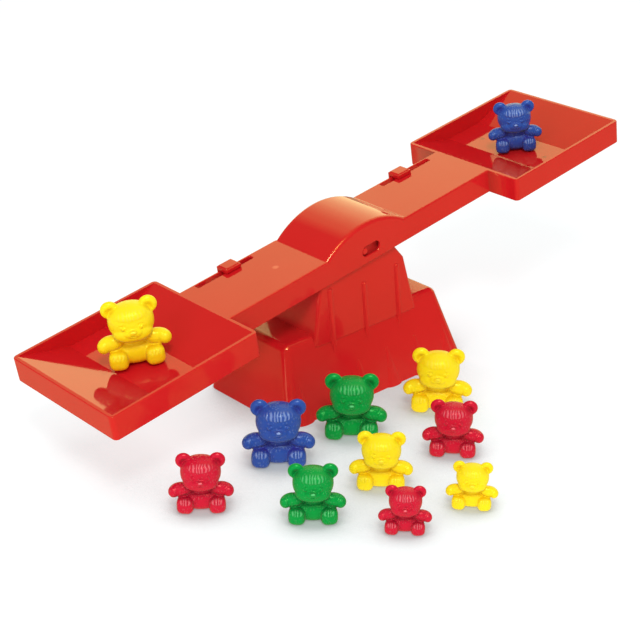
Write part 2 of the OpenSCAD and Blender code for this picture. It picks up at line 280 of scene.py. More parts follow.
@dataclass(frozen=True)
class GlossMoulding:
    """Gloss injection-moulded styrene plastic: a polished mould leaves a wet shine with sink waves.

    The eye sees sharp reflections that bend a little, because the walls shrink unevenly in cooling.

    Attributes:
        name: the material's name.
        colour: the plastic where it is thin.
        deep: the plastic where it has sunk.
        shine: tint of the reflections.
        roughness: roughness of the polished skin.
        spread: least and greatest share of that roughness.
        ior: how strongly styrene bends light.
        sink_wave_mm: length of the sink waves.
        sink_depth_mm: their depth.
        peel_mm: size of the skin's fine grain.
        peel_depth_mm: its depth.
        marks: spots of the gate and the ejectors.
        nook_mm: how near other walls make a nook; 0 keeps the whole skin polished.
        nook_air: shares of open air at which a nook is quite dull and quite polished.
        nook_roughness: roughness of the dull plastic.
        nook_rays: rays that look for the walls.
    """

    name: str = "gloss_red_moulded_polystyrene"
    colour: str = "#CE1C22"
    deep: str = "#C7181D"
    shine: str = "#FFDEA4"
    roughness: float = 0.06
    spread: Pair = (0.8, 1.25)
    ior: float = 1.5
    sink_wave_mm: float = 26.0
    sink_depth_mm: float = 0.05
    peel_mm: float = 1.6
    peel_depth_mm: float = 0.004
    marks: tuple[Mark, ...] = ()
    nook_mm: float = 0.0
    nook_air: Pair = (0.5, 0.86)
    nook_roughness: float = 0.95
    nook_rays: int = 6

    def gloss(self, tree: Tree, peel: Socket) -> Socket:
        """Returns the roughness, which follows the fine grain and rises in nooks."""
        low, high = (self.roughness * share for share in self.spread)
        polished = remap(tree, peel, target=(low, high))
        if not self.nook_mm:
            return polished
        # a polisher doesn't reach the mould's inner corners, so the plastic is dull there
        nook = add_node(tree, "ShaderNodeAmbientOcclusion", {"Distance": self.nook_mm * MM},
                        samples=self.nook_rays)
        open_air = remap(tree, nook.outputs["AO"], self.nook_air)
        return mix_numbers(tree, open_air, self.nook_roughness, polished)

    def build(self) -> bpy.types.Material:
        """Returns the material of the stand, beam, riders and pin."""
        material, tree, shader = new_material(self.name)
        place = add_node(tree, "ShaderNodeTexCoord").outputs["Object"]
        sink = add_node(tree, "ShaderNodeTexNoise", {
            "Vector": place, "Scale": 1 / (self.sink_wave_mm * MM), "Detail": 1.0}).outputs[0]
        peel = add_node(tree, "ShaderNodeTexNoise", {
            "Vector": place, "Scale": 1 / (self.peel_mm * MM), "Detail": 2.0}).outputs[0]
        tone = mix_colours(tree, sink, linear(self.deep), linear(self.colour))
        for mark in self.marks:
            tone = mark.paint(tree, place, tone)
        tree.links.new(tone, shader.inputs["Base Color"])
        tree.links.new(self.gloss(tree, peel), shader.inputs["Roughness"])
        wave = add_node(tree, "ShaderNodeBump", {
            "Height": sink, "Strength": 1.0, "Distance": self.sink_depth_mm * MM})
        skin = add_node(tree, "ShaderNodeBump", {
            "Height": peel, "Strength": 1.0, "Distance": self.peel_depth_mm * MM,
            "Normal": wave.outputs[0]})
        tree.links.new(skin.outputs[0], shader.inputs["Normal"])
        shader.inputs["IOR"].default_value = self.ior
        shader.inputs["Specular Tint"].default_value = linear(self.shine)
        return material


@dataclass(frozen=True)
class Zone:
    """An ellipsoid of the bear with a soft rim: middle, half sizes and the rim's share of them."""

    centre: Triple
    half: Triple
    soft: float = 0.3

    def mask(self, tree: Tree, form: Socket) -> Socket:
        """Makes a mask that is 1 inside the zone and 0 outside.

        Args:
            tree: the material's nodes.
            form: the bear's own coordinates.

        Returns:
            The mask's socket.
        """
        away = vector(tree, "DIVIDE", vector(tree, "SUBTRACT", form, self.centre), self.half)
        return remap(tree, vector(tree, "LENGTH", away), (1.0, 1.0 - self.soft))


@dataclass(frozen=True)
class BearVinyl:
    """Solid moulded plastic of the bears: pigmented through, with a satin skin and fur strokes.

    The strokes are cut in the mould, so they stand in the surface as dashes that catch the light,
    and their tips are lightened with a painted highlight. The longest stand side by side on the
    forehead and the soles. Painted shade darkens its folds.
    The red plastic mirrors a bear in the room's own dim tone, so no coloured patches lie on it.

    Attributes:
        pigment: the bear's colour.
        roughness: roughness of the skin.
        ior: how strongly the plastic bends light.
        relief_mm: height of the strokes.
        dash_share: spacing of the dashes, as shares of the bear's height.
        dash_scatter: how unevenly they lie.
        dash_edge: distances from a dash's middle at which it starts to fall and has ended.
        painted_dash_glint: how strong the painted highlight on a dash's tip is against a stroke's.
        bald: zones of one side without dashes: muzzle, forehead and ear.
        stroke_share: spacing of the long strokes.
        stroke_edge: shares of the way over a stroke at which it starts to rise and is up.
        stroke_sway: how far the strokes sway.
        stroke_bends: how often they do.
        painted_stroke_glint: how strong the painted highlight on the strokes' tips is.
        forehead: zone of the upper row of strokes.
        sole: zone of the row on each foot.
        nose: the nose's tip, which carries a painted highlight.
        painted_nose_glint: how strong that painted highlight is against a stroke's.
        mirrored: colour of the bear as other pieces mirror it.
    """

    pigment: Pigment
    roughness: float = 0.3
    ior: float = 1.49
    relief_mm: float = 0.2
    dash_share: Triple = (0.045, 0.045, 0.06)
    dash_scatter: float = 0.8
    dash_edge: Pair = (0.12, 0.42)
    painted_dash_glint: float = 0.3
    bald: tuple[Zone, ...] = (
        Zone((0, -0.3, 0.6), (0.17, 0.2, 0.12)), Zone((0, -0.15, 0.84), (0.25, 0.3, 0.13)),
        Zone((0.27, 0.0, 0.87), (0.17, 0.2, 0.15)))
    stroke_share: float = 0.024
    stroke_edge: Pair = (0.25, 0.75)
    stroke_sway: float = 0.06
    stroke_bends: float = 9.0
    painted_stroke_glint: float = 0.3
    forehead: Zone = Zone((0, -0.25, 0.835), (0.22, 0.3, 0.068), 0.2)
    sole: Zone = Zone((0.26, -0.28, 0.235), (0.11, 0.1, 0.055), 0.2)
    nose: Zone = Zone((0, -0.37, 0.64), (0.045, 0.03, 0.02))
    painted_nose_glint: float = 1.4
    mirrored: Colour = (0.25, 0.22, 0.15, 1.0)

    def dashes(self, tree: Tree, form: Socket, sides: Socket) -> Socket:
        """Makes short raised dashes, 0.8 by 1.2 mm on a large bear.

        Args:
            tree: the material's nodes.
            form: the bear's own coordinates.
            sides: the same without their signs.

        Returns:
            Their height, on cheeks, body, arms and legs.
        """
        place = add_node(tree, "ShaderNodeMapping", {
            "Vector": form, "Scale": tuple(1 / share for share in self.dash_share)}).outputs[0]
        cells = add_node(tree, "ShaderNodeTexVoronoi", {
            "Vector": place, "Scale": 1.0, "Randomness": self.dash_scatter})
        dash = remap(tree, cells.outputs["Distance"], self.dash_edge, (1.0, 0.0), "SMOOTHSTEP")
        bald: Any = 0.0
        for zone in self.bald:
            bald = number(tree, "MAXIMUM", bald, zone.mask(tree, sides))
        return number(tree, "MULTIPLY", dash, number(tree, "SUBTRACT", 1.0, bald))

    def strokes(self, tree: Tree, form: Socket, zone: Zone) -> Socket:
        """Makes a row of upright strokes, 1.7 mm apart on a large bear.

        Args:
            tree: the material's nodes.
            form: the bear's own coordinates.
            zone: where the row lies.

        Returns:
            Their height.
        """
        bend = add_node(tree, "ShaderNodeTexNoise", {
            "Vector": form, "Scale": self.stroke_bends, "Detail": 0.0}).outputs[0]
        across = add_node(tree, "ShaderNodeSeparateXYZ", {"Vector": form}).outputs["X"]
        swayed = number(tree, "MULTIPLY_ADD", bend, self.stroke_sway, across)
        fold = number(tree, "PINGPONG", number(tree, "DIVIDE", swayed, self.stroke_share), 1.0)
        ridge = remap(tree, fold, self.stroke_edge, easing="SMOOTHSTEP")
        return number(tree, "MULTIPLY", ridge, zone.mask(tree, form))

    def tone(self, tree: Tree, fold: Socket, light: Socket) -> Socket:
        """Colours the plastic, with painted shade in its folds and painted highlights on its strokes.

        Args:
            tree: the material's nodes.
            fold: how closed off the surface is, which darkens it with painted shade.
            light: where the painted highlights lie and how strong they are.

        Returns:
            The colour, and the dim one in mirror images.
        """
        body, deep, shine = self.pigment.tones
        painted_glint = number(tree, "MULTIPLY", light, self.painted_stroke_glint * self.pigment.relief)
        # painted shade darkens the folds; painted highlights lighten the strokes, the dashes and the
        # nose
        tone = mix_colours(tree, painted_glint, mix_colours(tree, fold, body, deep), shine)
        mirror = add_node(tree, "ShaderNodeLightPath").outputs["Is Glossy Ray"]
        return mix_colours(tree, mirror, tone, self.mirrored)

    def build(self) -> bpy.types.Material:
        """Returns the material, which reads the bear's own form coordinates."""
        material, tree, shader = new_material(f"moulded_vinyl_{self.pigment.name.lower()}")
        form = add_node(tree, "ShaderNodeAttribute",
                        attribute_name=BearForm.COORDINATES).outputs["Vector"]
        # how closed off the surface is, for the painted shade in the folds
        fold = add_node(tree, "ShaderNodeAttribute", attribute_name=BearForm.PAINTED_FOLD_SHADE).outputs["Fac"]
        sides = vector(tree, "ABSOLUTE", form)
        front = add_node(tree, "ShaderNodeMapping", {
            "Vector": sides, "Scale": (1.0, -1.0, 1.0)}).outputs[0]
        fur = self.dashes(tree, form, sides)
        # painted highlights on the tips of dashes and strokes and on the nose, mixed into the colour
        light = number(tree, "MULTIPLY", fur, self.painted_dash_glint)
        for place, zone in ((form, self.forehead), (front, self.sole)):
            row = self.strokes(tree, place, zone)
            fur = number(tree, "MAXIMUM", fur, row)
            light = number(tree, "MAXIMUM", light, row)
        light = number(tree, "MULTIPLY_ADD", self.nose.mask(tree, form), self.painted_nose_glint, light)
        tree.links.new(self.tone(tree, fold, light), shader.inputs["Base Color"])
        raised = add_node(tree, "ShaderNodeBump", {
            "Height": fur, "Strength": 1.0, "Distance": self.relief_mm * self.pigment.relief * MM})
        tree.links.new(raised.outputs[0], shader.inputs["Normal"])
        shader.inputs["Roughness"].default_value = self.roughness
        shader.inputs["IOR"].default_value = self.ior
        shader.inputs["Specular Tint"].default_value = self.pigment.tones[2]
        return material


@dataclass(frozen=True)
class GroundSteel:
    """Centreless-ground steel rod: bright, with fine scratches round it."""

    name: str = "ground_steel_rod"
    colour: str = "#C9CACC"
    roughness: float = 0.28
    spread: Pair = (0.7, 1.3)
    scratch_mm: float = 0.4
    scratch_stretch: float = 0.05

    def build(self) -> bpy.types.Material:
        """Returns the material of the axle."""
        material, tree, shader = new_material(self.name)
        place = add_node(tree, "ShaderNodeTexCoord").outputs["Object"]
        along = (self.scratch_stretch, 1 / (self.scratch_mm * MM), self.scratch_stretch)
        rings = add_node(tree, "ShaderNodeTexNoise", {
            "Vector": add_node(tree, "ShaderNodeMapping", {
                "Vector": place, "Scale": along}).outputs[0],
            "Scale": 1.0, "Detail": 3.0}).outputs[0]
        low, high = (self.roughness * share for share in self.spread)
        tree.links.new(remap(tree, rings, target=(low, high)), shader.inputs["Roughness"])
        shader.inputs["Base Color"].default_value = linear(self.colour)
        shader.inputs["Metallic"].default_value = 1.0
        return material


# Balance ------------------------------------------------------------------------------------------


@dataclass(frozen=True)
class BeamPose:
    """Where the tilted beam lies, in millimetres and degrees."""

    pivot_z: float = 89.1
    pivot_above: float = 4.0
    tilt: float = 9.55

    def matrix(self) -> Matrix:
        """Returns the matrix from the beam's own frame to the table's, in metres."""
        return (Matrix.Translation((0, 0, self.pivot_z * MM))
                @ Matrix.Rotation(math.radians(-self.tilt), 4, "Y")
                @ Matrix.Translation((0, 0, -self.pivot_above * MM)))


@dataclass
class Moulding:
    """A thin-walled moulding with the CAD node's form, its edges broken as a mould leaves them.

    Attributes:
        node: the CAD node that it replaces.
        body: the body that it rides on.
        edge_mm: rounding of a plain edge.
        widest_mm: largest rounding of the piece.
        sharp_deg: angle from which an edge is rounded.
        level_deg: angle up to which neighbouring triangles are one face.
        merge_m: distance up to which two corners are one.
        steps: faces over one rounding.
    """

    node: str
    body: str
    edge_mm: float
    widest_mm: float = 1.2
    sharp_deg: float = 34.0
    level_deg: float = 0.6
    merge_m: float = 1e-6
    steps: int = 3

    def reshape(self, bm: bmesh.types.BMesh) -> None:
        """Changes the form before its edges are rounded; a plain moulding keeps it."""

    def radius_mm(self, edge: bmesh.types.BMEdge) -> float:
        """Returns the rounding of one sharp edge, 0 where it stays as it is."""
        return self.edge_mm

    def weigh_edges(self, bm: bmesh.types.BMesh) -> None:
        """Stores each sharp edge's rounding as a share of the widest; one with none stays crisp."""
        weight = bm.edges.layers.float.new("bevel_weight_edge")
        sharp = math.radians(self.sharp_deg)
        for edge in bm.edges:
            if len(edge.link_faces) == 2 and edge.calc_face_angle(0) > sharp:
                radius = self.radius_mm(edge)
                edge[weight] = radius / self.widest_mm
                edge.smooth = radius > 0

    def build(self, material: bpy.types.Material) -> bpy.types.Object:
        """Makes the piece with rounded edges and dresses it.

        Args:
            material: finish of the whole moulding.

        Returns:
            The piece, which replaces the CAD node.
        """
        bm = bmesh.new()
        bm.from_mesh(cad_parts[self.node].data)
        bmesh.ops.remove_doubles(bm, verts=bm.verts, dist=self.merge_m)
        bmesh.ops.dissolve_limit(bm, angle_limit=math.radians(self.level_deg), verts=bm.verts,
                                 edges=bm.edges)
        self.reshape(bm)
        bm.normal_update()
        self.weigh_edges(bm)
        piece = object_from(bm, f"{self.node}_moulded")
        rounding = piece.modifiers.new("edge_rounding", "BEVEL")
        rounding.width = self.widest_mm * MM
        rounding.segments = self.steps
        rounding.limit_method = "WEIGHT"
        rounding.use_clamp_overlap = False
        rounding.miter_outer = "MITER_ARC"
        flat = piece.modifiers.new("flat_faces", "WEIGHTED_NORMAL")
        flat.keep_sharp = True
        piece.data.materials.append(material)
        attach(piece, self.body)
        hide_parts(self.node)
        report(piece, self.body)
        return piece


@dataclass
class BeamMoulding(Moulding):
    """The beam: its long top edges are rounder than its rims, and the arch's are rounder still.

    Attributes:
        half_width_mm: half the bar's width.
        bar_end_mm: where the bar ends and a pan starts.
        pan_start_mm: from where inner corners belong to a pan.
        side_slack_mm: how far from the bar's side an edge may lie and still be its own.
        top_slack_mm: height over or under the plate that still counts as its top.
        top_rise: least upward share of a top face's normal.
        side_turn: least sideways share of a side face's normal.
        long_edge_mm: rounding of the bar's top edges.
        arch_edge_mm: rounding of the arch's.
        fold_deg: angles between which an edge is a fold of a pan's floor.
        fold_length_mm: least length of a fold.
        pose: where the beam lies.
    """

    half_width_mm: float = 20.8
    bar_end_mm: float = 94.0
    pan_start_mm: float = 92.0
    side_slack_mm: float = 0.1
    top_slack_mm: float = 0.3
    top_rise: float = 0.5
    side_turn: float = 0.9
    long_edge_mm: float = 1.1
    arch_edge_mm: float = 2.4
    fold_deg: Pair = (12.0, 25.0)
    fold_length_mm: float = 50.0
    pose: BeamPose = BeamPose()

    def reshape(self, bm: bmesh.types.BMesh) -> None:
        """Keeps the folds between the pans' level floors and their sloping ends crisp."""
        low, high = (math.radians(angle) for angle in self.fold_deg)
        for edge in bm.edges:
            if edge.calc_length() > self.fold_length_mm * MM and len(edge.link_faces) == 2:
                edge.smooth = not low < edge.calc_face_angle(0) < high

    def radius_mm(self, edge: bmesh.types.BMEdge) -> float:
        """Finds out which edges of the beam are rounder and which stay tight.

        Args:
            edge: one sharp edge, in the table's frame.

        Returns:
            Its rounding: larger on the top edges of bar and arch, 0 in the pans' inner corners.
        """
        home = self.pose.matrix().inverted()
        middle = home @ ((edge.verts[0].co + edge.verts[1].co) / 2) / MM
        if not edge.is_convex and abs(middle.x) > self.pan_start_mm:
            return 0.0
        turned = home.to_3x3()
        looks = [turned @ face.normal for face in edge.link_faces]
        beside = abs(abs(middle.y) - self.half_width_mm) < self.side_slack_mm
        topmost = max(look.z for look in looks) > self.top_rise and middle.z > -self.top_slack_mm
        upright = max(abs(look.y) for look in looks) > self.side_turn
        if not (beside and topmost and upright and abs(middle.x) < self.bar_end_mm):
            return self.edge_mm
        return self.arch_edge_mm if middle.z > self.top_slack_mm else self.long_edge_mm


@dataclass
class StandMoulding(Moulding):
    """The stand: its flutes stand only a little out of the long faces.

    Attributes:
        flute_band_mm: heights between which the flutes lie.
        flute_share: share of the CAD's depth that a flute keeps.
        facing: least share of a long face's normal along Y.
        proud_mm: how far a corner stands out before it belongs to a flute.
        table_mm: height up to which edges stay tight on the table.
    """

    flute_band_mm: Pair = (2.0, 24.0)
    flute_share: float = 0.4
    facing: float = 0.8
    proud_mm: float = 0.03
    table_mm: float = 0.5

    def reshape(self, bm: bmesh.types.BMesh) -> None:
        """Makes the flutes of both long faces shallower, level, so that their foot stays down."""
        bm.normal_update()
        low, high = (height * MM for height in self.flute_band_mm)
        for side in (-1, 1):
            faces = [face for face in bm.faces if face.normal.y * side > self.facing
                     and low < face.calc_center_median().z < high]
            wall = max(faces, key=lambda face: face.calc_area())
            at, way = wall.verts[0].co.copy(), wall.normal.copy()
            for vert in bm.verts:
                out = (vert.co - at).dot(way)
                if out > self.proud_mm * MM and vert.co.z < high:
                    vert.co.y -= out * (1 - self.flute_share) / way.y

    def radius_mm(self, edge: bmesh.types.BMEdge) -> float:
        """Returns an outer edge's rounding, 0 at the table and in the corners under the tower."""
        low = max(vert.co.z for vert in edge.verts) < self.table_mm * MM
        return self.edge_mm if edge.is_convex and not low else 0.0


# Bears --------------------------------------------------------------------------------------------


@dataclass(frozen=True)
class Lobe:
    """One rounded mass of the bear: centre, half sizes and turn, as shares of its height."""

    centre: Triple
    half: Triple
    turn: Triple = (0.0, 0.0, 0.0)
    squareness: float = 2.0

    def add(self, bm: bmesh.types.BMesh) -> None:
        """Adds the lobe to a bmesh, an ellipsoid at squareness 2 and boxier above it."""
        verts = bmesh.ops.create_uvsphere(bm, u_segments=LOBE_SEGMENTS, v_segments=LOBE_RINGS,
                                          radius=1.0)["verts"]
        for vert in verts:
            vert.co /= sum(abs(c) ** self.squareness for c in vert.co) ** (1 / self.squareness)
        turn = Euler([math.radians(angle) for angle in self.turn]).to_matrix().to_4x4()
        place = Matrix.Translation(self.centre) @ turn @ Matrix.Diagonal((*self.half, 1))
        bmesh.ops.transform(bm, matrix=place, verts=verts)


@dataclass(frozen=True)
class Press:
    """A soft push of the bear's skin by a shift that fades out over its reach."""

    centre: Triple
    reach: Triple
    shift: Triple

    def apply(self, points: np.ndarray) -> None:
        """Moves the points near the centre, with a smooth falloff.

        Args:
            points: the skin's points, one row each, changed in place.
        """
        away = np.linalg.norm((points - np.array(self.centre)) / np.array(self.reach), axis=1)
        fall = np.clip(1 - away, 0, 1)
        fall = fall * fall * (3 - 2 * fall)
        points += fall[:, None] * np.array(self.shift)


def paired_lobes() -> Iterator[Lobe]:
    """Yields the lobes that come in pairs: ears, arms with their paws, legs and eyes."""
    for side in (-1, 1):
        yield Lobe((side * 0.266, 0.005, 0.858), (0.133, 0.072, 0.133))
        yield Lobe((side * 0.332, -0.055, 0.365), (0.19, 0.11, 0.118), (0, side * 14, side * 10))
        yield Lobe((side * 0.433, -0.082, 0.342), (0.092, 0.098, 0.1))
        yield Lobe((side * 0.25, -0.132, 0.138), (0.138, 0.156, 0.138), (0, 0, side * 9),
                   squareness=3.2)
        yield Lobe((side * 0.125, -0.272, 0.672), (0.026, 0.022, 0.026))


def skin_presses() -> Iterator[Press]:
    """Yields the pushes that make the ears' hollows, the toes, the eyes' sockets and the mouth."""
    for side in (-1, 1):
        yield Press((side * 0.262, -0.06, 0.845), (0.1, 0.075, 0.1), (0, 0.055, 0))
        for toe in (-0.06, 0.0, 0.06):
            yield Press((side * 0.27 + toe, -0.28, 0.225), (0.018, 0.05, 0.05), (0, 0.016, -0.008))
        yield Press((side * 0.125, -0.26, 0.705), (0.07, 0.06, 0.022), (0, 0.016, 0))
    yield Press((0, -0.342, 0.565), (0.075, 0.06, 0.018), (0, 0.02, 0))


@dataclass
class BearForm:
    """The sitting bear that all weights are scaled from, one unit high. It faces -Y.

    Attributes:
        voxel: size of the cells in which the lobes are joined.
        smoothing: how often the joined skin is smoothed.
        smoothing_share: how far each time.
        foot: height up to which it isn't, so that the seat stays level.
        fold_rays: rays that look over each point.
        fold_reach: how far they look.
        fold_start: how far over the skin they start.
        fold_free: share of hits that an open point may have.
        fold_gain: how quickly more hits close a point off.
        lobes: the single lobes, from the head down to the seat.
    """

    COORDINATES = "bear_form"
    PAINTED_FOLD_SHADE = "bear_painted_fold_shade"

    voxel: float = 0.0105
    smoothing: int = 3
    smoothing_share: float = 0.5
    foot: float = 0.02
    fold_rays: int = 20
    fold_reach: float = 0.3
    fold_start: float = 0.004
    fold_free: float = 0.1
    fold_gain: float = 1.7
    lobes: tuple[Lobe, ...] = (
        Lobe((0, -0.02, 0.665), (0.325, 0.262, 0.272), squareness=2.2),
        Lobe((0, -0.12, 0.79), (0.25, 0.155, 0.12)),
        Lobe((0, -0.11, 0.545), (0.285, 0.205, 0.14), squareness=2.2),
        Lobe((0, -0.262, 0.588), (0.135, 0.085, 0.07)),
        Lobe((0, -0.338, 0.628), (0.055, 0.026, 0.028)),
        Lobe((0, 0.055, 0.34), (0.225, 0.185, 0.28)),
        Lobe((0, 0.01, 0.18), (0.32, 0.2, 0.19), squareness=2.3),
    )

    def join(self) -> bpy.types.Mesh:
        """Returns one closed skin over all lobes."""
        bm = bmesh.new()
        for lobe in (*self.lobes, *paired_lobes()):
            lobe.add(bm)
        draft = object_from(bm, "bear_form_draft")
        skin = draft.modifiers.new("skin", "REMESH")
        skin.mode = "VOXEL"
        skin.voxel_size = self.voxel
        done = draft.evaluated_get(bpy.context.evaluated_depsgraph_get())
        mesh = bpy.data.meshes.new_from_object(done)
        bpy.data.objects.remove(draft)
        return mesh

    def build(self) -> bpy.types.Mesh:
        """Makes the unit bear: lobes joined in one skin, cut level, smoothed, then pressed.

        Returns:
            A mesh one unit high that carries its own form coordinates.
        """
        mesh = self.join()
        bm = bmesh.new()
        bm.from_mesh(mesh)
        cut = bmesh.ops.bisect_plane(bm, geom=[*bm.verts, *bm.edges, *bm.faces],
                                     plane_co=(0, 0, 0), plane_no=(0, 0, 1), clear_inner=True)
        rim = [e for e in cut["geom_cut"] if isinstance(e, bmesh.types.BMEdge)]
        bmesh.ops.holes_fill(bm, edges=rim)
        for _ in range(self.smoothing):
            bmesh.ops.smooth_vert(bm, verts=[v for v in bm.verts if v.co.z > self.foot],
                                  factor=self.smoothing_share,
                                  use_axis_x=True, use_axis_y=True, use_axis_z=True)
        bm.to_mesh(mesh)
        bm.free()
        self.press(mesh)
        self.fold(mesh)
        return mesh

    def press(self, mesh: bpy.types.Mesh) -> None:
        """Pushes the small features into the skin and stores the form coordinates on it."""
        points = np.zeros(len(mesh.vertices) * 3, np.float32)
        mesh.vertices.foreach_get("co", points)
        points = points.reshape(-1, 3)
        for press in skin_presses():
            press.apply(points)
        mesh.vertices.foreach_set("co", points.ravel())
        store = mesh.attributes.new(self.COORDINATES, "FLOAT_VECTOR", "POINT")
        store.data.foreach_set("vector", points.ravel())
        mesh.update()

    def dome(self) -> list[Vector]:
        """Returns ray directions spread evenly over the upper half of a sphere."""
        golden = math.pi * (3 - math.sqrt(5))
        ways = []
        for i in range(self.fold_rays):
            height = (i + 0.5) / self.fold_rays
            wide = math.sqrt(1 - height)
            ways.append(Vector((wide * math.cos(i * golden), wide * math.sin(i * golden),
                                math.sqrt(height))))
        return ways

    def fold(self, mesh: bpy.types.Mesh) -> None:
        """Stores how much of the air over each point the bear itself closes off, from 0 to 1, for
        painted shade.
        """
        bm = bmesh.new()
        bm.from_mesh(mesh)
        tree = BVHTree.FromBMesh(bm)
        bm.free()
        ways = self.dome()
        closed = np.zeros(len(mesh.vertices), np.float32)
        for vert in mesh.vertices:
            lay = vert.normal.to_track_quat("Z", "X")
            start = vert.co + vert.normal * self.fold_start
            hits = sum(tree.ray_cast(start, lay @ way, self.fold_reach)[0] is not None
                       for way in ways)
            share = max(hits / self.fold_rays - self.fold_free, 0.0)
            closed[vert.index] = min(share * self.fold_gain, 1.0)
        store = mesh.attributes.new(self.PAINTED_FOLD_SHADE, "FLOAT", "POINT")
        store.data.foreach_set("value", closed)


@dataclass(frozen=True)
class BearWeight:
    """One loose bear.

    Attributes:
        node: the CAD node that it replaces.
        pigment: its colour.
        height_mm: its height.
        place_mm: where it stands, in the beam's frame if it stands in a pan.
        turn_deg: how far it is turned.
        in_pan: whether it stands in a pan.
        lean_deg: how far it leans, with one foot on the pan's slope.
        pan_floor_mm: height of the pan's level floor in the beam's frame.
        seat_reach_share: distance from its middle to that foot, as a share of its height.
    """

    node: str
    pigment: Pigment
    height_mm: float
    place_mm: Pair
    turn_deg: float
    in_pan: bool = False
    lean_deg: float = 0.0
    pan_floor_mm: float = -9.7
    seat_reach_share: float = 0.35

    def matrix(self, beam: BeamPose) -> Matrix:
        """Returns the matrix that takes the unit bear to its place."""
        x, y = self.place_mm
        lean = math.radians(self.lean_deg)
        lift = self.seat_reach_share * self.height_mm * math.sin(lean)
        level = self.pan_floor_mm + lift if self.in_pan else 0.0
        own = (Matrix.Translation((x * MM, y * MM, level * MM)) @ Matrix.Rotation(lean, 4, "Y")
               @ Matrix.Rotation(math.radians(self.turn_deg), 4, "Z")
               @ Matrix.Scale(self.height_mm * MM, 4))
        return beam.matrix() @ own if self.in_pan else own

    def build(self, form: bpy.types.Mesh, beam: BeamPose,
              material: bpy.types.Material) -> bpy.types.Object:
        """Copies the unit bear to its place and dresses it.

        Args:
            form: the unit bear.
            beam: pose of the beam, for bears that stand in a pan.
            material: the bear's finish.

        Returns:
            The finished bear.
        """
        mesh = form.copy()
        mesh.name = f"{self.node}_moulded"
        mesh.transform(self.matrix(beam))
        piece = link_smooth(mesh, mesh.name)
        mesh.materials.clear()
        mesh.materials.append(material)
        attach(piece, self.node)
        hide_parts(self.node)
        report(piece, self.node)
        return piece


@dataclass(frozen=True)
class BearSet:
    """The eleven bears, in three sizes and four colours."""

    large_mm: float = 35.0
    medium_mm: float = 29.8
    small_mm: float = 24.0

    def weights(self) -> list[BearWeight]:
        """Returns every bear with its place on the table or in a pan."""
        large, medium, small = self.large_mm, self.medium_mm, self.small_mm
        return [
            BearWeight("bear_yellow_left_pan", Pigment.YELLOW, large, (-139.786, 0.259), -31,
                       in_pan=True, lean_deg=2.6),
            BearWeight("bear_blue_right_pan", Pigment.BLUE, medium, (139.083, -1.961), -43,
                       in_pan=True, lean_deg=1.4),
            BearWeight("bear_blue_large", Pigment.BLUE, large, (-89.54, -51.985), -40.5),
            BearWeight("bear_green_large", Pigment.GREEN, large, (-43.549, -56.536), -43.5),
            BearWeight("bear_yellow_large", Pigment.YELLOW, large, (10.027, -66.637), -47),
            BearWeight("bear_red_medium_left", Pigment.CRIMSON, medium, (-145.04, -59.755), -40),
            BearWeight("bear_red_medium_right", Pigment.CRIMSON, medium, (-18.5, -104.858), -48),
            BearWeight("bear_green_medium", Pigment.GREEN, medium, (-112.258, -102.86), -42),
            BearWeight("bear_yellow_medium", Pigment.YELLOW, medium, (-67.636, -102.971), -45),
            BearWeight("bear_red_small", Pigment.CRIMSON, small, (-87.32, -139.157), -46),
            BearWeight("bear_yellow_small", Pigment.YELLOW, small, (-48.544, -145.6), -49),
        ]

    def build(self, beam: BeamPose) -> None:
        """Makes the unit bear once and places all eleven."""
        form = BearForm().build()
        finish = {pigment: BearVinyl(pigment).build() for pigment in Pigment}
        for weight in self.weights():
            weight.build(form, beam, finish[weight.pigment])


# Studio -------------------------------------------------------------------------------------------


def place_aimed(data: bpy.types.ID, place_mm: Triple, target_mm: Triple) -> bpy.types.Object:
    """Links a lamp or camera, turned so that it looks at a point.

    Args:
        data: the lamp or camera, whose name the object takes.
        place_mm: where it hangs.
        target_mm: the point.

    Returns:
        The new object.
    """
    thing = bpy.data.objects.new(data.name, data)
    thing.location = Vector(place_mm) * MM
    way = Vector(target_mm) * MM - thing.location
    thing.rotation_euler = way.to_track_quat("-Z", "Y").to_euler()
    bpy.context.scene.collection.objects.link(thing)
    return thing


@dataclass(frozen=True)
class Glow:
    """A soft bright field of the room that only shines in reflections.

    Attributes:
        azimuth: degrees from +Y towards +X of its middle.
        elevation: degrees over the table of its middle.
        reach: degrees from the middle to its rim.
        strength: brightness of its middle.
        falloff: power with which it fades.
    """

    azimuth: float
    elevation: float
    reach: float
    strength: float
    falloff: float = 2.2

    def add(self, tree: Tree, way: Socket) -> Socket:
        """Adds the field to the room's nodes.

        Args:
            tree: the world's nodes.
            way: direction of the ray.

        Returns:
            The field's brightness in that direction.
        """
        side, up = math.radians(self.azimuth), math.radians(self.elevation)
        middle = (math.sin(side) * math.cos(up), math.cos(side) * math.cos(up), math.sin(up))
        near = vector(tree, "DOT_PRODUCT", way, middle)
        share = remap(tree, near, (math.cos(math.radians(self.reach)), 1.0))
        bell = number(tree, "POWER", share, self.falloff)
        return number(tree, "MULTIPLY", bell, self.strength)


@dataclass(frozen=True)
class WindowWall:
    """A broad bright wall behind the toy that only shines in reflections.

    Attributes:
        azimuth: degrees at which the wall starts.
        ramp: distances round from there, as sines, at which it is dark and fully bright.
        strength: its full brightness.
        depth: shares of the way back at which it is dark and fully bright.
    """

    azimuth: float
    ramp: Pair
    strength: float
    depth: Pair = (-0.3, 0.1)

    def add(self, tree: Tree, way: Socket) -> Socket:
        """Adds the wall to the room's nodes and returns its brightness in the ray's direction."""
        turn = math.radians(self.azimuth)
        across = vector(tree, "DOT_PRODUCT", way, (math.cos(turn), -math.sin(turn), 0.0))
        rise = remap(tree, across, self.ramp, (0.0, self.strength))
        back = add_node(tree, "ShaderNodeSeparateXYZ", {"Vector": way}).outputs["Y"]
        return number(tree, "MULTIPLY", rise, remap(tree, back, self.depth))


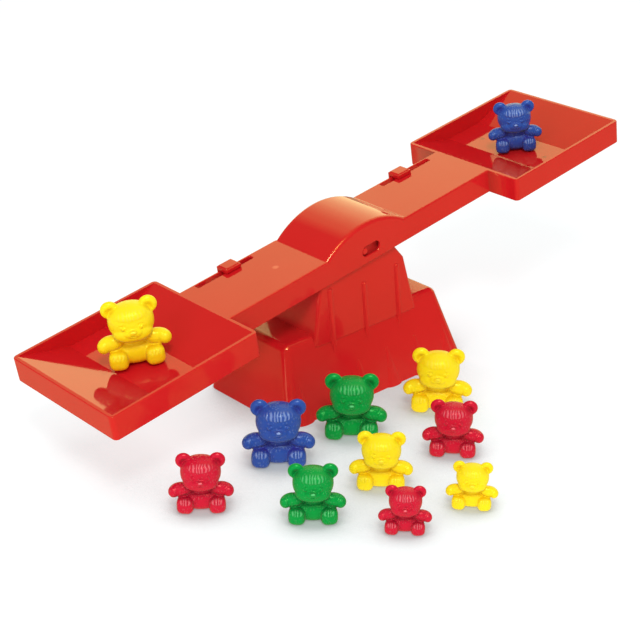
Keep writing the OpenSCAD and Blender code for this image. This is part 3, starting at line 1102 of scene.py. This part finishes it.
@dataclass(frozen=True)
class SoftLamp:
    """A square soft lamp that looks at the toy."""

    name: str
    place_mm: Triple
    size_mm: float
    watts: float
    target_mm: Triple = (0.0, 0.0, 40.0)

    def build(self) -> None:
        """Hangs the lamp."""
        data = bpy.data.lights.new(self.name, "AREA")
        data.size = self.size_mm * MM
        data.energy = self.watts
        place_aimed(data, self.place_mm, self.target_mm)


@dataclass(frozen=True)
class WhiteTable:
    """Matt white table board, which keeps the toy's shadow and, near the pieces, a painted contact
    shadow.

    Attributes:
        half_mm: half its size.
        seen: its colour to the camera, under its own glow.
        bounced: its colour to light that it sends on.
        mirrored: its colour in reflections.
        glow: brightness that the camera sees on open board.
        fill: brightness that it lends to the toy's undersides.
        contact_mm: how near a piece darkens it with painted shadow.
        contact_air: shares of open air at which it is darkest and clear.
        contact_dark: share of the glow that is left at its darkest.
        contact_rays: rays that look for the pieces.
    """

    half_mm: float = 4000.0
    seen: Colour = (0.32, 0.355, 0.355, 1.0)
    bounced: Colour = (0.94, 0.94, 0.94, 1.0)
    mirrored: Colour = (0.6, 0.56, 0.29, 1.0)
    glow: float = 0.74
    fill: float = 0.4
    contact_mm: float = 52.0
    contact_air: Pair = (0.55, 0.92)
    contact_dark: float = 0.3
    contact_rays: int = 8

    def material(self) -> bpy.types.Material:
        """Returns the board's material, which answers each kind of ray in its own way."""
        material, tree, _ = new_material("white_table")
        tree.nodes.clear()
        rays = add_node(tree, "ShaderNodeLightPath").outputs
        bounced = mix_colours(tree, rays["Is Glossy Ray"], self.bounced, self.mirrored)
        colour = mix_colours(tree, rays["Is Camera Ray"], bounced, self.seen)
        board = add_node(tree, "ShaderNodeBsdfDiffuse", {"Color": colour}).outputs[0]
        # painted contact shadow: the board's glow to the camera dims where pieces close off the air
        contact = add_node(tree, "ShaderNodeAmbientOcclusion", {
            "Distance": self.contact_mm * MM}, samples=self.contact_rays)
        shade = remap(tree, contact.outputs["AO"], self.contact_air, (self.contact_dark, 1.0))
        seen = number(tree, "MULTIPLY", shade, self.glow)
        filled = number(tree, "MULTIPLY", rays["Is Diffuse Ray"], self.fill)
        level = mix_numbers(tree, rays["Is Camera Ray"], filled, seen)
        lift = add_node(tree, "ShaderNodeEmission", {"Strength": level}).outputs[0]
        both = add_node(tree, "ShaderNodeAddShader", {0: board, 1: lift}).outputs[0]
        add_node(tree, "ShaderNodeOutputMaterial", {"Surface": both})
        return material

    def build(self) -> None:
        """Lays the board under the toy."""
        bm = bmesh.new()
        bmesh.ops.create_grid(bm, x_segments=1, y_segments=1, size=self.half_mm * MM)
        table = object_from(bm, "floor")
        table.data.materials.append(self.material())


@dataclass(frozen=True)
class Studio:
    """White table, soft lamps, the room and the camera at the photograph's angle.

    Attributes:
        camera_mm: where the camera stands.
        target_mm: the point that it looks at.
        lens: its focal length.
        sensor_mm: width of its sensor.
        far_m: how far it sees.
        ambient: even light of the room.
        dim: brightness of the dark room in reflections.
        warm: tint of all reflections of the room.
        glows: bright fields of the room, only in reflections.
        lamps: the soft lamps.
    """

    camera_mm: Triple = (-529.2, -565.3, 401.6)
    target_mm: Triple = (-14.1, 0.0, 35.5)
    lens: float = 87.36
    sensor_mm: float = 36.0
    far_m: float = 20.0
    ambient: float = 0.73
    dim: float = 0.26
    warm: Colour = (1.0, 0.93, 0.45, 1.0)
    glows: tuple[Glow | WindowWall, ...] = (
        WindowWall(4, (-0.06, 0.14), 0.95), WindowWall(4, (0.2, 0.5), 0.9),
        Glow(-140, 60, 60, 0.6), Glow(-156, 57, 17, 15.0))
    lamps: tuple[SoftLamp, ...] = (
        SoftLamp("key_softbox", (-620, -739, 1189), 320, 8.0),
        SoftLamp("fill_softbox", (-900, -250, 330), 350, 0.7))

    def camera(self) -> None:
        """Makes the camera and gives it to the scene."""
        data = bpy.data.cameras.new("camera")
        data.lens = self.lens
        data.sensor_width = self.sensor_mm
        data.clip_end = self.far_m
        bpy.context.scene.camera = place_aimed(data, self.camera_mm, self.target_mm)

    def world(self) -> None:
        """Lights the room evenly, shows white to the camera and the glows to reflections."""
        world = bpy.data.worlds.new("room")
        bpy.context.scene.world = world
        world.use_nodes = True
        tree = world.node_tree
        tree.nodes.clear()
        rays = add_node(tree, "ShaderNodeLightPath").outputs
        way = add_node(tree, "ShaderNodeTexCoord").outputs["Generated"]
        mirrored: Any = self.dim
        for glow in self.glows:
            mirrored = number(tree, "ADD", mirrored, glow.add(tree, way))
        seen = number(tree, "MAXIMUM", rays["Is Camera Ray"], rays["Is Transmission Ray"])
        level = remap(tree, seen, target=(self.ambient, 1.0))
        level = mix_numbers(tree, rays["Is Glossy Ray"], level, mirrored)
        tint = mix_colours(tree, rays["Is Glossy Ray"], (1, 1, 1, 1), self.warm)
        light = add_node(tree, "ShaderNodeBackground", {"Color": tint, "Strength": level})
        add_node(tree, "ShaderNodeOutputWorld", {"Surface": light.outputs[0]})

    def build(self) -> None:
        """Sets up camera, table, lamps, world and the plain view transform."""
        self.camera()
        WhiteTable().build()
        for lamp in self.lamps:
            lamp.build()
        self.world()
        bpy.context.scene.view_settings.view_transform = "Standard"


def build_balance(beam: BeamPose) -> None:
    """Dresses the stand, the beam, the riders, the pin and the axle.

    Args:
        beam: pose of the beam.
    """
    gate = Mark((-48.2, -1.6, 0.0), 2.2, "#E86A50")
    ejectors = [Mark(at, 1.9, "#8E1110") for at in ((139.8, -23.5, -9.8), (138.0, 23.0, -9.8))]
    marks = tuple(mark.moved(beam.matrix()) for mark in (gate, *ejectors))
    name = GlossMoulding.name
    gloss = GlossMoulding().build()
    marked = GlossMoulding(name=f"{name}_with_gate_marks", marks=marks).build()
    nooked = GlossMoulding(name=f"{name}_with_dull_nooks", nook_mm=30.0).build()
    StandMoulding("base_shell", "base", 0.35).build(nooked)
    BeamMoulding("balance_beam", "beam", 0.5, widest_mm=2.4).build(marked)
    Moulding("rider_left", "rider_left", 0.4).build(gloss)
    Moulding("rider_right", "rider_right", 0.4).build(gloss)
    Moulding("stop_pin", "base", 0.3).build(gloss)
    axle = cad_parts["fulcrum_axle"]
    axle.data.materials.clear()
    axle.data.materials.append(GroundSteel().build())


def main() -> None:
    """Builds the balance, the bears and the studio."""
    logging.basicConfig(level=logging.INFO, format="%(message)s")
    beam = BeamPose()
    build_balance(beam)
    BearSet().build(beam)
    Studio().build()


if __name__ == "__main__":
    main()
